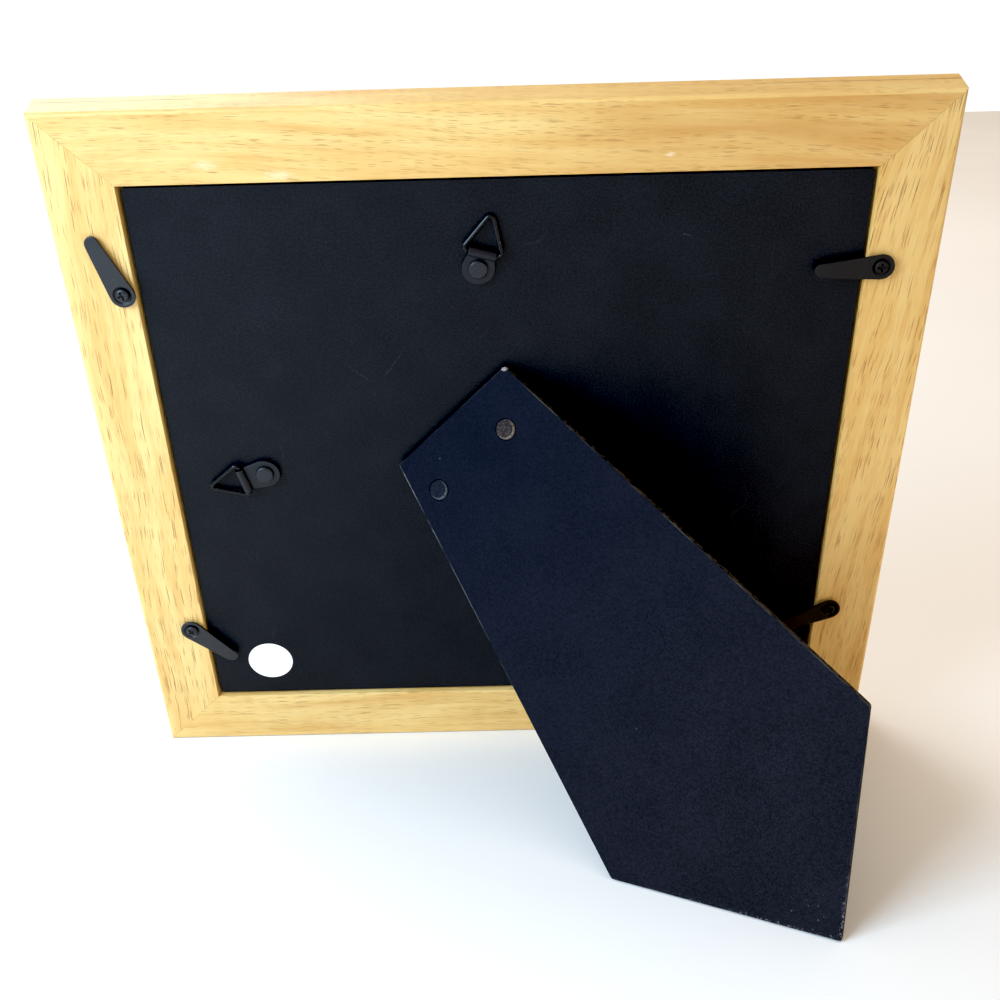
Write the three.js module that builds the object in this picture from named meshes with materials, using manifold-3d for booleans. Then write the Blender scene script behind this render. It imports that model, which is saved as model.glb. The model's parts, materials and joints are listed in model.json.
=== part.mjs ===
// A wooden multi-photo frame that leans back on its open easel leg.
// Millimetres and degrees. +Z is up, the picture faces -Y and the leg stands behind it, at +Y.
// Left and right are as seen from the front.

import * as THREE from 'three';
import { mergeVertices } from 'three/addons/utils/BufferGeometryUtils.js';
import Module from 'manifold-3d';

const wasm = await Module();
wasm.setup();

// Clearances
const seatGap = 0.25; // between pieces that rest on each other
const rebatePlay = 1; // round the board, mat and glass in the rebate
const boreGap = 0.2; // round a rivet, screw or pin in its hole
const mitreGap = 0.2; // between two rails at a corner

// Backing board and what lies before it in the rebate
const boardWidth = 254;
const boardHeight = 228;
const boardThickness = 3;
const boardCornerRound = 2;
const boardRecess = 1.5; // below the back of the rails
const glassThickness = 2;
const matThickness = 1.5;
const printThickness = 0.3;

// Window mat: a grid of equal windows with equal borders
const windowColumns = 3;
const windowRows = 2;
const windowWidth = 57;
const windowHeight = 83;
const printMargin = 3; // a print runs this far past its window

// Rails
const railFace = 25; // back face, from the outer side to the rebate
const railDepth = 18;
const sideDraft = 0.8; // the outer side falls in this much towards the back
const lipWidth = 6; // the lip that holds the glass
const sightHeight = 4; // straight part of the sight edge
const scoopWidth = 13; // hollow between the sight edge and the flat front
const backRound = 1.5;
const frontRound = 4;
const rebateEase = 0.3;

// Easel leg
const legThickness = 3;
const legTopWidth = 58.5;
const legWidth = 118;
const legCornerRound = 1;
const legDirection = -45; // folded leg, measured from the horizontal on the back
const openAngle = 36.5;
const hingeFromSide = 167.7; // hinge pin to the outer side and to the foot of the frame
const hingeFromFoot = 158.7;

// Leg hinge
const hingeWidth = 46;
const hingeShift = -3.5; // along the pin, from the middle of the leg
const leafThickness = 0.8;
const baseLeafLength = 22;
const legLeafLength = 26;
const leafCornerRound = 3;
const knuckleRadius = 1.7;
const middleKnuckle = 20;
const pinDiameter = 1.6;
const pinOverhang = 0.8;

// Rivets
const rivetShank = 3;
const tailDiameter = 5;
const tailHeight = 0.7;
const legRivetHead = 7.6;
const legRivetHeight = 0.75;
const legRivetSink = 0.5; // how far the head is drawn into the leg
const legRivetSpacing = 36.6;
const legRivetFromTop = 18;
const baseRivetHead = 5.2;
const baseRivetHeight = 0.8;
const baseRivetSpacing = 18;
const baseRivetFromPin = 14;
const hangerRivetHead = 7;
const hangerRivetHeight = 1.1;

// Hangers: a strap folded round the bar of a triangle ring
const strapThickness = 0.8;
const strapEndRadius = 5.8;
const strapFoldWidth = 9.8;
const ringWire = 1.7;
const ringReach = 13.4; // bar to point, between the middles of the wire
const ringBend = 1.4; // at each corner, to the middle of the wire
const ringSeam = 0.5; // between the ends of the wire, inside the fold
const topHangerInset = 32.7; // rivet to the upper edge of the rebate
const topHangerShift = -7.3; // off the middle of the board
const topBarReach = 6; // rivet to the bar of the ring
const sideHangerInset = 35.4; // rivet to the side edge of the rebate
const sideBarReach = 8.6;
const hangerTilt = 15;

// Turn buttons and their screws
const buttonSheet = 1;
const buttonEndRadius = 4.6;
const buttonTipRadius = 2.6;
const buttonReach = 20.4; // screw to the middle of the tip's round
const buttonLift = 0.9; // depth of the pressed well, so height of the arm over the rail
const buttonCurl = 5; // length of the tip that curls down
const buttonCurlDrop = 0.6;
const wellWall = 0.7; // slope of the well's wall in plan
const screwHead = 4.8;
const screwHeadHeight = 1.2;
const screwShank = 2.8;
const screwLength = 9;
const screwPoint = 3;
const crossLength = 3.2;
const crossWidth = 0.8;
const crossDepth = 0.8;

// Places of the turn buttons as seen from behind: x and y name the corner, inset is from the screw to the
// upper or lower edge of the rebate, setback from the screw to the side edge, turn is the way the arm points
const buttons = {
  top_right: { x: -1, y: 1, inset: 38.5, setback: 4.4, turn: 110 },
  top_left: { x: 1, y: 1, inset: 35.2, setback: 4.9, turn: 183 },
  bottom_right: { x: -1, y: -1, inset: 39, setback: 5, turn: -44 },
  bottom_left: { x: 1, y: -1, inset: 42.5, setback: 5.3, turn: 205 },
};

// Facets
const arcSteps = 6; // on each curve of an outline
const roundSteps = 28; // round a rivet, screw or knuckle
const wireSides = 10;
const wireSteps = 4; // on each half of a bend

const rad = THREE.MathUtils.degToRad;
const diagonal = Math.SQRT1_2;

const openingWidth = boardWidth + 2 * rebatePlay;
const openingHeight = boardHeight + 2 * rebatePlay;
const outerWidth = openingWidth + 2 * (railFace + sideDraft);
const outerHeight = openingHeight + 2 * (railFace + sideDraft);
const stack = boardThickness + printThickness + matThickness + glassThickness + 4 * seatGap;
const rebateDepth = boardRecess + stack;
const strapStack = 2 * strapThickness;

const finishes = {
  wood: { color: 0xe2b566, roughness: 0.5, metalness: 0 },
  boardPaper: { color: 0x17181d, roughness: 0.75, metalness: 0 },
  legPaper: { color: 0x161a2b, roughness: 0.6, metalness: 0 },
  blackMetal: { color: 0x1c1c20, roughness: 0.4, metalness: 0.6 },
  gunmetal: { color: 0x4a4b50, roughness: 0.45, metalness: 0.8 },
  zincSteel: { color: 0xa9abad, roughness: 0.4, metalness: 0.9 },
  clearGlass: { color: 0xeef4f2, roughness: 0.03, metalness: 0 },
  matCard: { color: 0xf1ead9, roughness: 0.9, metalness: 0 },
  photoPaper: { color: 0xb9c3c4, roughness: 0.35, metalness: 0 },
};

// Named mesh with its own material, added to a group
function addPart(parent, name, geometry, finish) {
  const mesh = new THREE.Mesh(geometry, new THREE.MeshStandardMaterial(finishes[finish]));
  mesh.name = name;
  parent.add(mesh);
  return mesh;
}

function addGroup(parent, x, y, z) {
  const group = new THREE.Group();
  group.position.set(x, y, z);
  parent.add(group);
  return group;
}

// Closed solid of a geometry, ready to be joined and cut
function solidOf(geometry) {
  const bare = geometry.clone();
  bare.deleteAttribute('normal');
  bare.deleteAttribute('uv');
  const merged = mergeVertices(bare);
  const corners = merged.index.array;
  const triangles = [];
  for (let i = 0; i < corners.length; i += 3) {
    const triangle = corners.slice(i, i + 3);
    if (new Set(triangle).size === 3) triangles.push(...triangle);
  }
  return new wasm.Manifold(new wasm.Mesh({
    numProp: 3,
    vertProperties: Float32Array.from(merged.attributes.position.array),
    triVerts: Uint32Array.from(triangles),
  }));
}

function geometryOf(solid) {
  const mesh = solid.getMesh();
  const geometry = new THREE.BufferGeometry();
  geometry.setAttribute('position', new THREE.BufferAttribute(mesh.vertProperties, 3));
  geometry.setIndex(new THREE.BufferAttribute(mesh.triVerts, 1));
  geometry.computeVertexNormals();
  return geometry;
}

// Outline in XY raised along Z
function plate(outline, height, from = 0) {
  const geometry = new THREE.ExtrudeGeometry(outline, {
    depth: height,
    bevelEnabled: false,
    curveSegments: arcSteps,
  });
  return geometry.translate(0, 0, from);
}

// Side view in XZ drawn out along Y, centred on middle
function bar(sideView, width, middle = 0) {
  return plate(sideView, width, -width / 2).rotateX(Math.PI / 2).translate(0, middle, 0);
}

// Profile of [radius, height] points turned about Z
function turned(profile) {
  const points = profile.map(([radius, height]) => new THREE.Vector2(radius, height));
  return new THREE.LatheGeometry(points, roundSteps).rotateX(Math.PI / 2);
}

function drill(diameter, from, to, x = 0, y = 0) {
  const profile = [[0, from], [diameter / 2, from], [diameter / 2, to], [0, to]];
  return solidOf(turned(profile).translate(x, y, 0));
}

// Closed outline through corners, each with its own round
function roundedOutline(corners) {
  const shape = new THREE.Shape();
  corners.forEach(([x, y, round], i) => {
    const corner = new THREE.Vector2(x, y);
    const before = new THREE.Vector2(...corners.at(i - 1).slice(0, 2));
    const after = new THREE.Vector2(...corners[(i + 1) % corners.length].slice(0, 2));
    const start = before.sub(corner).setLength(round).add(corner);
    const end = after.sub(corner).setLength(round).add(corner);
    if (i === 0) shape.moveTo(start.x, start.y);
    else shape.lineTo(start.x, start.y);
    shape.quadraticCurveTo(corner.x, corner.y, end.x, end.y);
  });
  shape.closePath();
  return shape;
}

function roundedRectangle(x0, y0, x1, y1, round) {
  return roundedOutline([[x0, y0, round], [x1, y0, round], [x1, y1, round], [x0, y1, round]]);
}

// Section of a rail: X is the inset from the outer side, Y the depth (back face at 0, front negative)
function railSection() {
  const wall = sideDraft + railFace;
  const sight = wall + lipWidth;
  const section = new THREE.Shape();
  section.moveTo(wall, -rebateEase);
  section.lineTo(wall - rebateEase, 0);
  section.lineTo(sideDraft + backRound, 0);
  section.absarc(sideDraft + backRound, -backRound, backRound, Math.PI / 2, Math.PI, false);
  section.absarc(frontRound, frontRound - railDepth, frontRound, Math.PI, 1.5 * Math.PI, false);
  section.lineTo(sight - scoopWidth, -railDepth);
  section.quadraticCurveTo(sight - scoopWidth / 3, -railDepth, sight, -rebateDepth - sightHeight);
  section.lineTo(sight, -rebateDepth);
  section.lineTo(wall, -rebateDepth);
  section.closePath();
  return section;
}

// Rail along X at the foot of a frame: the section drawn out, with both ends cut to the mitre
function railGeometry(length, across) {
  const geometry = plate(railSection(), 1);
  const place = geometry.attributes.position;
  const trim = mitreGap * diagonal;
  for (let i = 0; i < place.count; i += 1) {
    const inset = place.getX(i);
    const end = place.getZ(i) > 0.5 ? -1 : 1;
    place.setXYZ(i, end * (length / 2 - inset - trim), place.getY(i), inset - across / 2);
  }
  return geometry;
}

// Side rail with the pilot holes of its two turn button screws; x is its side, seen from behind
function sideRailGeometry(x) {
  const hole = screwShank + 2 * boreGap;
  const depth = screwLength + seatGap;
  let rail = solidOf(railGeometry(outerHeight, outerWidth));
  for (const { y, inset, setback } of Object.values(buttons).filter((button) => button.x === x)) {
    const pilot = turned([[0, -depth], [hole / 2, -depth], [hole / 2, 1], [0, 1]]);
    pilot.rotateX(-Math.PI / 2);
    pilot.translate(-x * y * (openingHeight / 2 - inset), 0, -openingWidth / 2 - setback);
    rail = rail.subtract(solidOf(pilot));
  }
  return geometryOf(rail);
}

// Revolved rivet about Z: its head sits on seat, its tail is spread below bottom
function rivetGeometry(head, height, seat, bottom, tail) {
  const shank = rivetShank / 2;
  const edge = height * 0.4;
  const crown = height * 0.35;
  return turned([
    [0, bottom - tail],
    [tailDiameter / 2 - tail / 3, bottom - tail],
    [tailDiameter / 2, bottom - tail / 2],
    [tailDiameter / 2, bottom],
    [shank, bottom],
    [shank, seat],
    [head / 2, seat],
    [head / 2, seat + edge],
    [head / 2 - crown, seat + height - crown / 3],
    [head / 2 - 2 * crown, seat + height],
    [0, seat + height],
  ]);
}

// Hinge leaf drawn in its own plane: X runs from the pin along the leaf, Y along the pin, Z out of it.
// The leaf lies under the pin, rolled up round it in the given knuckles.
function leafGeometry(length, knuckles, rivetHoles) {
  const bore = pinDiameter / 2 + boreGap;
  const roll = new THREE.Shape();
  const meet = Math.asin((knuckleRadius - leafThickness) / knuckleRadius);
  roll.moveTo(length / 2, -knuckleRadius);
  roll.lineTo(length / 2, leafThickness - knuckleRadius);
  roll.absarc(0, 0, knuckleRadius, -meet, 1.5 * Math.PI, false);
  roll.closePath();
  roll.holes.push(new THREE.Path().absarc(0, 0, bore, 0, 2 * Math.PI, true));
  const from = knuckleRadius + 2 * seatGap;
  const half = hingeWidth / 2;
  const flat = roundedOutline([
    [from, -half, 0.01],
    [length, -half, leafCornerRound],
    [length, half, leafCornerRound],
    [from, half, 0.01],
  ]);
  let leaf = solidOf(plate(flat, leafThickness, -knuckleRadius));
  for (const [middle, width] of knuckles) {
    leaf = leaf.add(solidOf(bar(roll, width, middle)));
  }
  for (const [x, y] of rivetHoles) {
    leaf = leaf.subtract(drill(rivetShank + 2 * boreGap, -2 * knuckleRadius, 0, x, y));
  }
  return leaf;
}

// Easel leg: X runs down the leg from the pin, Y along the pin, Z out of its face
function legOutline(top, shoulder) {
  const narrow = legTopWidth / 2;
  const wide = legWidth / 2;
  return roundedOutline([
    [top, -narrow, legCornerRound],
    [shoulder, -wide, legCornerRound],
    [shoulder + wide, 0, legCornerRound],
    [shoulder, wide, legCornerRound],
    [top, narrow, legCornerRound],
  ]);
}

// Hanger strap: folded double from the rivet at the origin to the eye round the ring's bar
function strapGeometry(barReach) {
  const bore = ringWire / 2 + boreGap;
  const eye = bore + strapThickness;
  const tuck = Math.asin((eye - strapStack) / eye);
  const fold = new THREE.Shape();
  fold.moveTo(-strapEndRadius, strapStack);
  fold.lineTo(-strapEndRadius, 0);
  fold.lineTo(barReach, 0);
  fold.absarc(barReach, eye, eye, -Math.PI / 2, Math.PI + tuck, false);
  fold.closePath();
  fold.holes.push(new THREE.Path().absarc(barReach, eye, bore, 0, 2 * Math.PI, true));
  const neck = barReach - eye;
  const reach = barReach + eye;
  const turn = Math.PI / 2 - Math.atan2(strapEndRadius - strapFoldWidth / 2, neck);
  const outline = new THREE.Shape();
  outline.absarc(0, 0, strapEndRadius, turn, 2 * Math.PI - turn, false);
  outline.lineTo(neck, -strapFoldWidth / 2);
  outline.lineTo(reach, -strapFoldWidth / 2);
  outline.lineTo(reach, strapFoldWidth / 2);
  outline.lineTo(neck, strapFoldWidth / 2);
  outline.closePath();
  const strap = solidOf(bar(fold, 2 * strapEndRadius)).intersect(solidOf(plate(outline, 2 * eye)));
  return geometryOf(strap.subtract(drill(rivetShank + 2 * boreGap, -1, 2 * eye)));
}

// Round wire swept along a flat open path
function wireGeometry(path) {
  const points = path.getPoints(wireSteps);
  const radius = ringWire / 2;
  const vertices = [];
  const faces = [];
  points.forEach((point, i) => {
    const before = points[Math.max(i - 1, 0)];
    const after = points[Math.min(i + 1, points.length - 1)];
    const across = after.clone().sub(before).normalize().rotateAround(new THREE.Vector2(), Math.PI / 2);
    for (let k = 0; k < wireSides; k += 1) {
      const angle = (2 * Math.PI * k) / wireSides;
      const side = across.clone().multiplyScalar(radius * Math.cos(angle)).add(point);
      vertices.push(side.x, side.y, radius * Math.sin(angle));
    }
  });
  const last = (points.length - 1) * wireSides;
  for (let k = 0; k < wireSides; k += 1) {
    const next = (k + 1) % wireSides;
    for (let start = 0; start < last; start += wireSides) {
      faces.push(start + k, start + wireSides + next, start + wireSides + k);
      faces.push(start + k, start + next, start + wireSides + next);
    }
    if (k > 1) {
      faces.push(0, k, k - 1);
      faces.push(last, last + k - 1, last + k);
    }
  }
  const geometry = new THREE.BufferGeometry();
  geometry.setAttribute('position', new THREE.Float32BufferAttribute(vertices, 3));
  geometry.setIndex(faces);
  geometry.computeVertexNormals();
  return geometry;
}

// Triangle ring with its bar on the Y axis and its point along X; the wire's ends meet in the bar
function ringGeometry() {
  const half = strapFoldWidth / 2 + seatGap;
  const point = ringReach - ringBend;
  const slope = Math.atan2(point - ringBend, half);
  const path = new THREE.Path();
  path.moveTo(0, ringSeam / 2);
  path.absarc(ringBend, half, ringBend, Math.PI, slope, true);
  path.absarc(point, 0, ringBend, slope, -slope, true);
  path.absarc(ringBend, -half, ringBend, -slope, -Math.PI, true);
  path.lineTo(0, -ringSeam / 2);
  return wireGeometry(path);
}

// Turn button: arm along X, with a pressed well round its screw at the origin
function buttonGeometry() {
  const top = buttonLift + buttonSheet;
  const tip = buttonReach + buttonTipRadius;
  const tangent = Math.acos((buttonEndRadius - buttonTipRadius) / buttonReach);
  const outline = new THREE.Shape();
  outline.absarc(0, 0, buttonEndRadius, tangent, 2 * Math.PI - tangent, false);
  outline.absarc(buttonReach, 0, buttonTipRadius, -tangent, tangent, false);
  outline.closePath();
  const arm = new THREE.Shape();
  arm.moveTo(-buttonEndRadius, buttonLift);
  arm.lineTo(tip - buttonCurl, buttonLift);
  arm.quadraticCurveTo(tip - buttonCurl / 2, buttonLift, tip, buttonLift - buttonCurlDrop);
  arm.lineTo(tip, top - buttonCurlDrop);
  arm.quadraticCurveTo(tip - buttonCurl / 2, top, tip - buttonCurl, top);
  arm.lineTo(-buttonEndRadius, top);
  arm.closePath();
  const hole = screwShank / 2 + boreGap;
  const floor = screwHead / 2 + seatGap;
  const well = turned([
    [hole, 0],
    [floor + seatGap, 0],
    [floor + seatGap + wellWall, buttonLift],
    [floor + seatGap + wellWall, top],
    [floor + wellWall, top],
    [floor, buttonSheet],
    [hole, buttonSheet],
    [hole, 0],
  ]);
  const sheet = solidOf(bar(arm, 2 * buttonEndRadius)).intersect(solidOf(plate(outline, top)));
  const open = sheet.subtract(drill(2 * (floor + wellWall), -1, 2 * top));
  return geometryOf(open.add(solidOf(well)));
}

// Pan-head screw with a cross recess; its head sits at seat, its point below the surface at 0
function screwGeometry(seat) {
  const head = screwHead / 2;
  const shank = screwShank / 2;
  const top = seat + screwHeadHeight;
  const body = solidOf(turned([
    [0, -screwLength],
    [shank, screwPoint - screwLength],
    [shank, seat],
    [head, seat],
    [head, seat + screwHeadHeight * 0.45],
    [head * 0.9, seat + screwHeadHeight * 0.8],
    [head * 0.62, top],
    [0, top],
  ]));
  const slot = new THREE.BoxGeometry(crossLength, crossWidth, 2 * crossDepth).translate(0, 0, top);
  const cross = solidOf(slot).add(solidOf(slot.clone().rotateZ(Math.PI / 2)));
  return geometryOf(body.subtract(cross));
}

// The frame leans so that the foot edge of the open leg lies flat on the table
const lean = Math.atan(Math.tan(rad(openAngle) / 2) * diagonal);
const restHeight = Math.min(...railSection().extractPoints(arcSteps).shape.map((point) => (
  (point.x - outerHeight / 2) * Math.cos(lean) - point.y * Math.sin(lean)
)));
const part = new THREE.Group();
const frame = addGroup(part, 0, 0, -restHeight);
frame.rotation.x = -lean;

// Rails, turned round the frame from the foot
const rails = {
  bottom: railGeometry(outerWidth, outerHeight),
  left: sideRailGeometry(1),
  top: railGeometry(outerWidth, outerHeight),
  right: sideRailGeometry(-1),
};
Object.entries(rails).forEach(([side, geometry], turn) => {
  addPart(frame, `rail_${side}`, geometry, 'wood').rotation.y = turn * Math.PI / 2;
});

// On the back, X is to the right as seen from behind, Y is up and Z is out of the back
const back = addGroup(frame, 0, 0, 0);
back.rotation.set(-Math.PI / 2, 0, Math.PI);
const board = addGroup(back, 0, 0, -boardRecess);

// Leg hinge: the pin's place, and the leg's sizes that follow from its stop and from the table
const pinHeight = seatGap + knuckleRadius;
const legFace = knuckleRadius + seatGap; // inner face of the leg, from the pin
const pinX = openingWidth / 2 + railFace - hingeFromSide;
const pinY = hingeFromFoot - openingHeight / 2 - railFace;
const swing = rad(openAngle);
const legTop = -(pinHeight + legFace * Math.cos(swing) - seatGap) / Math.sin(swing);
const shoulderUp = pinY - diagonal * (legWidth / 2 - legFace * Math.sin(swing));
const shoulderOut = pinHeight - boardRecess + legFace * Math.cos(swing);
const shoulderDrop = shoulderUp * Math.cos(lean) - shoulderOut * Math.sin(lean) - restHeight;
const dropRate = diagonal * Math.cos(swing) * Math.cos(lean) + Math.sin(swing) * Math.sin(lean);
const legShoulder = shoulderDrop / dropRate;

const hinge = addGroup(board, pinX, pinY, pinHeight);
hinge.rotation.z = rad(legDirection);
const leg = addGroup(hinge, 0, 0, 0);
leg.rotation.y = -swing;

const sideKnuckle = (hingeWidth - middleKnuckle) / 2 - seatGap;
const sideMiddle = (hingeWidth - sideKnuckle) / 2;
const baseRivets = [-1, 1].map((side) => [baseRivetFromPin, hingeShift + side * baseRivetSpacing / 2]);
const legRivetX = legTop + legRivetFromTop;
const legRivets = [-1, 1].map((side) => [legRivetX, hingeShift + side * legRivetSpacing / 2]);
const shiftBack = ([x, y]) => [x, y - hingeShift];

const baseLeaf = leafGeometry(
  baseLeafLength,
  [[-sideMiddle, sideKnuckle], [sideMiddle, sideKnuckle]],
  baseRivets.map(shiftBack),
);
addPart(hinge, 'hinge_base_leaf', geometryOf(baseLeaf), 'zincSteel').position.y = hingeShift;

// The leg's leaf is the same form turned over, so that it lies against the leg
const legLeaf = leafGeometry(
  legLeafLength,
  [[0, middleKnuckle - seatGap]],
  legRivets.map(shiftBack).map(([x, y]) => [x, -y]),
);
const legLeafPart = addPart(leg, 'hinge_leg_leaf', geometryOf(legLeaf), 'zincSteel');
legLeafPart.rotation.x = Math.PI;
legLeafPart.position.y = hingeShift;

const pinHalf = hingeWidth / 2 + pinOverhang;
const pinRound = pinDiameter / 4;
const pin = turned([
  [0, -pinHalf],
  [pinDiameter / 2 - pinRound, -pinHalf],
  [pinDiameter / 2, pinRound - pinHalf],
  [pinDiameter / 2, pinHalf - pinRound],
  [pinDiameter / 2 - pinRound, pinHalf],
  [0, pinHalf],
]);
const pinPart = addPart(hinge, 'hinge_pin', pin, 'zincSteel');
pinPart.rotation.x = Math.PI / 2;
pinPart.position.y = hingeShift;

const rivetHole = rivetShank + 2 * boreGap;
const tailPocket = tailDiameter + 2 * boreGap;
const pocketDepth = tailHeight + 2 * seatGap;
baseRivets.forEach(([x, y], i) => {
  const seat = leafThickness + seatGap + seatGap - pinHeight;
  const bottom = pocketDepth - seatGap - boardThickness - pinHeight;
  const rivet = rivetGeometry(baseRivetHead, baseRivetHeight, seat, bottom, tailHeight);
  addPart(hinge, `base_rivet_${i + 1}`, rivet, 'zincSteel').position.set(x, y, 0);
});

// Easel leg with its two rivets, whose heads are drawn into its face
const legOuter = legFace + legThickness;
let legBoard = solidOf(plate(legOutline(legTop, legShoulder), legThickness, legFace));
for (const [x, y] of legRivets) {
  legBoard = legBoard.subtract(drill(rivetHole, legFace - 1, legOuter + 1, x, y));
  const sink = drill(legRivetHead + 2 * boreGap, legOuter - legRivetSink, legOuter + 1, x, y);
  legBoard = legBoard.subtract(sink);
}
addPart(leg, 'easel_leg', geometryOf(legBoard), 'legPaper');
legRivets.forEach(([x, y], i) => {
  const seat = legOuter - legRivetSink + seatGap;
  const bottom = knuckleRadius - leafThickness - seatGap;
  const rivet = rivetGeometry(legRivetHead, legRivetHeight, seat, bottom, tailHeight);
  addPart(leg, `leg_rivet_${i + 1}`, rivet, 'gunmetal').position.set(x, y, 0);
});

// Hangers: one points to the top of the frame, one to its right side
const hangers = {
  top: {
    x: topHangerShift,
    y: openingHeight / 2 - topHangerInset,
    turn: 90 - hangerTilt,
    barReach: topBarReach,
  },
  side: {
    x: sideHangerInset - openingWidth / 2,
    y: 0,
    turn: 180 + hangerTilt,
    barReach: sideBarReach,
  },
};
const eyeHeight = seatGap + ringWire / 2 + boreGap + strapThickness;
const ringRest = Math.asin((eyeHeight - ringWire / 2 - seatGap) / ringReach);
for (const [name, { x, y, turn, barReach }] of Object.entries(hangers)) {
  const hanger = addGroup(board, x, y, 0);
  hanger.rotation.z = rad(turn);
  addPart(hanger, `hanger_strap_${name}`, strapGeometry(barReach), 'blackMetal').position.z = seatGap;
  const seat = strapStack + 2 * seatGap;
  const bottom = pocketDepth - seatGap - boardThickness;
  const rivet = rivetGeometry(hangerRivetHead, hangerRivetHeight, seat, bottom, tailHeight);
  addPart(hanger, `hanger_rivet_${name}`, rivet, 'gunmetal');
  const ring = addPart(hanger, `hanger_ring_${name}`, ringGeometry(), 'blackMetal');
  ring.position.set(barReach, 0, eyeHeight);
  ring.rotation.y = ringRest;
}

// Backing board, pierced for the rivets, with a pocket for each rivet's tail on its inner side
const halfWidth = boardWidth / 2;
const halfHeight = boardHeight / 2;
const boardOutline = roundedRectangle(-halfWidth, -halfHeight, halfWidth, halfHeight, boardCornerRound);
let panel = solidOf(plate(boardOutline, boardThickness, -boardThickness));
const holes = baseRivets.map(([x, y]) => {
  const place = new THREE.Vector2(x, y).rotateAround(new THREE.Vector2(), rad(legDirection));
  return [pinX + place.x, pinY + place.y];
});
holes.push(...Object.values(hangers).map(({ x, y }) => [x, y]));
for (const [x, y] of holes) {
  panel = panel.subtract(drill(rivetHole, -boardThickness - 1, 1, x, y));
  panel = panel.subtract(drill(tailPocket, -boardThickness - 1, pocketDepth - boardThickness, x, y));
}
addPart(board, 'backing_board', geometryOf(panel), 'boardPaper');

// Prints, window mat and glass, each before the last
const sightWidth = openingWidth - 2 * lipWidth;
const sightHigh = openingHeight - 2 * lipWidth;
const borderX = (sightWidth - windowColumns * windowWidth) / (windowColumns + 1);
const borderY = (sightHigh - windowRows * windowHeight) / (windowRows + 1);
const printBack = -boardThickness - seatGap;
const matBack = printBack - printThickness - seatGap;
const glassBack = matBack - matThickness - seatGap;
let mat = solidOf(plate(boardOutline, matThickness, matBack - matThickness));
let printCount = 0;
for (let row = 0; row < windowRows; row += 1) {
  for (let column = 0; column < windowColumns; column += 1) {
    const x = (borderX + windowWidth) * (column - (windowColumns - 1) / 2);
    const y = (borderY + windowHeight) * ((windowRows - 1) / 2 - row);
    const cut = new THREE.BoxGeometry(windowWidth, windowHeight, 3 * matThickness);
    const corner = cut.attributes.position;
    for (let i = 0; i < corner.count; i += 1) {
      const grow = corner.getZ(i) < 0 ? 2 * matThickness : -matThickness; // cut at 45 degrees, wider in front
      corner.setX(i, corner.getX(i) + Math.sign(corner.getX(i)) * grow);
      corner.setY(i, corner.getY(i) + Math.sign(corner.getY(i)) * grow);
    }
    mat = mat.subtract(solidOf(cut.translate(x, y, matBack - matThickness / 2)));
    const sheet = new THREE.BoxGeometry(
      windowWidth + 2 * printMargin,
      windowHeight + 2 * printMargin,
      printThickness,
    );
    printCount += 1;
    const print = addPart(board, `photo_print_${printCount}`, sheet, 'photoPaper');
    print.position.set(x, y, printBack - printThickness / 2);
  }
}
addPart(board, 'window_mat', geometryOf(mat), 'matCard');
const glassOutline = roundedRectangle(-halfWidth, -halfHeight, halfWidth, halfHeight, boardCornerRound / 2);
const glass = plate(glassOutline, glassThickness, glassBack - glassThickness);
addPart(board, 'glass_pane', glass, 'clearGlass');

// Turn buttons and their screws
for (const [name, { x, y, inset, setback, turn }] of Object.entries(buttons)) {
  const screwX = x * (openingWidth / 2 + setback);
  const screwY = y * (openingHeight / 2 - inset);
  const place = addGroup(back, screwX, screwY, 0);
  const button = addPart(place, `turn_button_${name}`, buttonGeometry(), 'blackMetal');
  button.position.z = seatGap;
  button.rotation.z = rad(turn);
  const screw = screwGeometry(buttonSheet + 2 * seatGap);
  addPart(place, `button_screw_${name}`, screw, 'blackMetal').rotation.z = rad(turn);
}

// The origin is on the table, under the middle of the whole object
const box = new THREE.Box3().setFromObject(part, true);
part.children[0].position.y = -(box.min.y + box.max.y) / 2;

export default part;
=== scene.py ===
# Looks of a wooden multi-photo frame that stands on its open leg, seen from behind.
# Blender works in metres. Pieces have their sizes in millimetres, the stage in metres. Angles are degrees.

import json
import math

import bmesh
import bpy
from mathutils import Matrix, Quaternion, Vector

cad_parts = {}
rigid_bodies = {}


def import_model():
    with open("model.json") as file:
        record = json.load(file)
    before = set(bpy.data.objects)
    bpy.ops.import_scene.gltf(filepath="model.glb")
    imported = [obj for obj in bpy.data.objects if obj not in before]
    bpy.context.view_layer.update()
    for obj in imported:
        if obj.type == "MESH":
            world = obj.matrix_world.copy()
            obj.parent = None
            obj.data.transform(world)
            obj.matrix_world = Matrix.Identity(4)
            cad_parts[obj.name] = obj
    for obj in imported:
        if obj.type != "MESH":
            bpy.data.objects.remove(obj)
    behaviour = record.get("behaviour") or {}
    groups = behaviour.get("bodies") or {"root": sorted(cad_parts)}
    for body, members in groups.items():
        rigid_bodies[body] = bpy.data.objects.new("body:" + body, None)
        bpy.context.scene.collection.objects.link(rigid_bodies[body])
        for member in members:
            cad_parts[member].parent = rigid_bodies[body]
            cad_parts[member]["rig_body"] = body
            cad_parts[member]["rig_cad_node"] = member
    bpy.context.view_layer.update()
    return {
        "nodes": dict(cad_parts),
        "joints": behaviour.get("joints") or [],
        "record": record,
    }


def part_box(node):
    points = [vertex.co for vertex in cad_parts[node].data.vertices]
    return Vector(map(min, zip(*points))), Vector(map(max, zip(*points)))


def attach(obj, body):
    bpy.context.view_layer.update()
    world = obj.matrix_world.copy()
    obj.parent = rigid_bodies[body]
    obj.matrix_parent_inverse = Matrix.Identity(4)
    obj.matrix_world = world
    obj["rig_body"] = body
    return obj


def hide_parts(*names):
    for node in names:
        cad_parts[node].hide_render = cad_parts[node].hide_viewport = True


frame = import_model()
nodes = frame["nodes"]
joints = {joint["name"]: joint for joint in frame["joints"]}
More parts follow.
